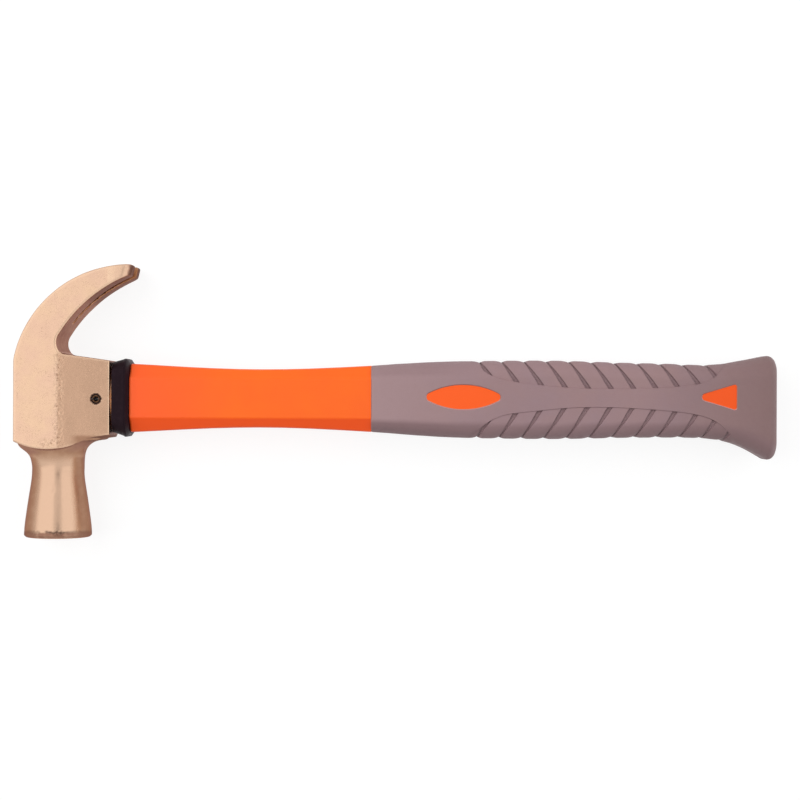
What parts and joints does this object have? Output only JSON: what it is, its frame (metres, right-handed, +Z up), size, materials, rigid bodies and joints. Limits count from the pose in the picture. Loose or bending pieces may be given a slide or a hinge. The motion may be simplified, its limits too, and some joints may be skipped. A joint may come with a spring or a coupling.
{
  "type": "claw hammer",
  "caption": "Claw hammer with a cast bronze head, curved nail-pulling claw, round striking face, plastic-jacketed fibreglass handle and grooved rubber grip.",
  "frame": {"origin": "on the surface the hammer lies on, at the middle of its outline seen from above", "axes": "+X along the handle from the head to the butt, +Y the way the claw points, +Z up through the cheeks"},
  "size_m": [0.33, 0.118, 0.0292],
  "materials": {
    "bronze": "satin",
    "pin_metal": "satin",
    "resin": "gloss",
    "fibreglass": "satin",
    "black_rubber": "satin",
    "orange_plastic": "satin",
    "grey_rubber": "matte"
  },
  "bodies": {
    "root": {"head": "bronze", "roll_pin": "pin_metal", "eye_resin": "resin", "core_rod": "fibreglass", "collar": "black_rubber", "jacket": "orange_plastic", "grip": "grey_rubber"}
  },
  "joints": []
}
